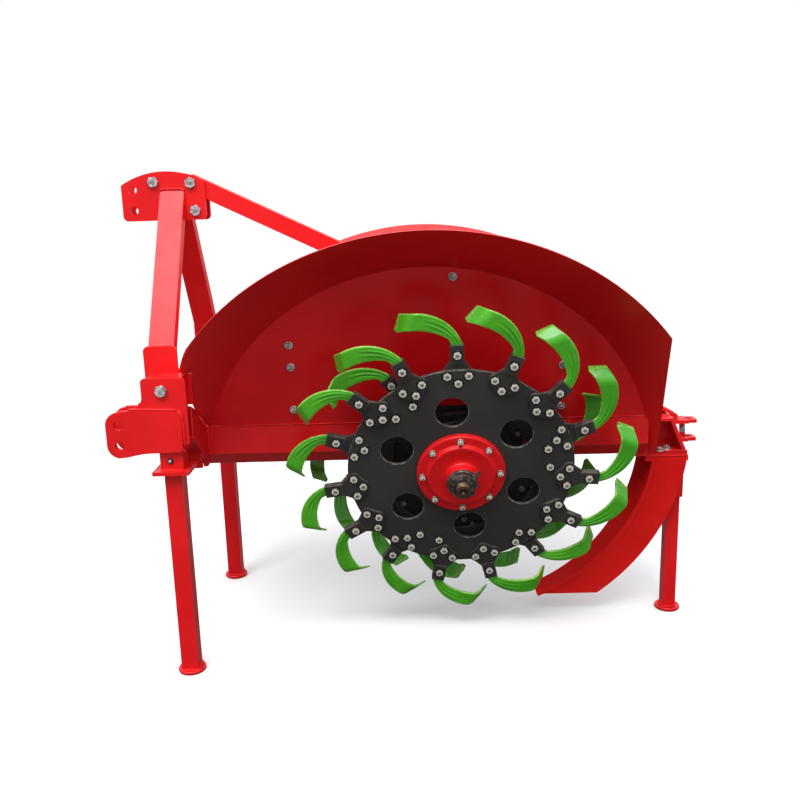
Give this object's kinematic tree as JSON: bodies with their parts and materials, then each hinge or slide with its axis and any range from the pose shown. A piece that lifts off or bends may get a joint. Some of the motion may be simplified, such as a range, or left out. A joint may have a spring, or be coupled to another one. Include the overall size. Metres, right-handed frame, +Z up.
{
  "type": "double-disc ditcher",
  "caption": "Tractor-carried ditcher: a red frame with mast and parking legs carries two leaning black discs with hooked green teeth under flared soil shields.",
  "frame": {"origin": "on the floor under the middle of the machine's length and width", "axes": "+X rearwards (the tractor is at -X), +Y to the far side, +Z up"},
  "size_m": [2.131, 1.119, 1.767],
  "materials": {
    "red_paint": "gloss paint",
    "black_paint": "satin paint",
    "green_paint": "gloss paint",
    "black_casting": "painted casting",
    "bare_steel": "machined"
  },
  "bodies": {
    "frame": {"main_beam": "red_paint", "gearbox": "black_casting", "gear_case": "black_casting", "input_bearing": "black_casting", "near_bearing_housing": "black_casting", "far_bearing_housing": "black_casting", "near_arm": "red_paint", "far_arm": "red_paint", "near_link_bracket": "red_paint", "far_link_bracket": "red_paint", "near_mast_foot": "red_paint", "far_mast_foot": "red_paint", "near_mast_leg": "red_paint", "far_mast_leg": "red_paint", "near_top_plate": "red_paint", "far_top_plate": "red_paint", "mast_brace": "red_paint", "near_shield": "red_paint", "far_shield": "red_paint", "near_shield_stays": "red_paint", "far_shield_stays": "red_paint", "shield_tie": "red_paint", "rear_bracket": "red_paint", "trench_shoe": "red_paint", "near_leg_socket": "red_paint", "far_leg_socket": "red_paint", "rear_leg_socket": "red_paint"},
    "input_shaft": {"input_stub": "bare_steel"},
    "near_rotor": {"near_disc": "black_paint", "near_hub": "red_paint", "near_spindle": "bare_steel", "near_spindle_nut": "black_paint", "near_front_holders": "black_paint", "near_back_holders": "black_paint", "near_teeth": "green_paint"},
    "far_rotor": {"far_disc": "black_paint", "far_hub": "red_paint", "far_spindle": "bare_steel", "far_spindle_nut": "black_paint", "far_front_holders": "black_paint", "far_back_holders": "black_paint", "far_teeth": "green_paint"},
    "near_leg_body": {"near_leg": "red_paint"},
    "far_leg_body": {"far_leg": "red_paint"},
    "rear_leg_body": {"rear_leg": "red_paint"}
  },
  "joints": [
    {"name": "input_turn", "type": "hinge", "parent": "frame", "child": "input_shaft", "pos_m": [-0.9775, 0, 0.78443], "axis": [-1, 0, 0], "continuous": true},
    {"name": "near_rotor_turn", "type": "hinge", "parent": "frame", "child": "near_rotor", "pos_m": [0.1395, -0.3, 0.695], "axis": [0, 0.9583, 0.2857], "continuous": true},
    {"name": "far_rotor_turn", "type": "hinge", "parent": "frame", "child": "far_rotor", "pos_m": [0.1395, 0.3, 0.695], "axis": [0, 0.9583, -0.2857], "continuous": true},
    {"name": "near_leg_slide", "type": "slide", "parent": "frame", "child": "near_leg_body", "axis": [0, 0, 1], "range_m": [0, 0.2]},
    {"name": "far_leg_slide", "type": "slide", "parent": "frame", "child": "far_leg_body", "axis": [0, 0, 1], "range_m": [0, 0.2]},
    {"name": "rear_leg_slide", "type": "slide", "parent": "frame", "child": "rear_leg_body", "axis": [0, 0, 1], "range_m": [0, 0.14]}
  ],
  "couplings": [
    {"joint": "far_rotor_turn", "follows": "near_rotor_turn", "ratio": 1},
    {"joint": "input_turn", "follows": "near_rotor_turn", "ratio": 2.5}
  ]
}
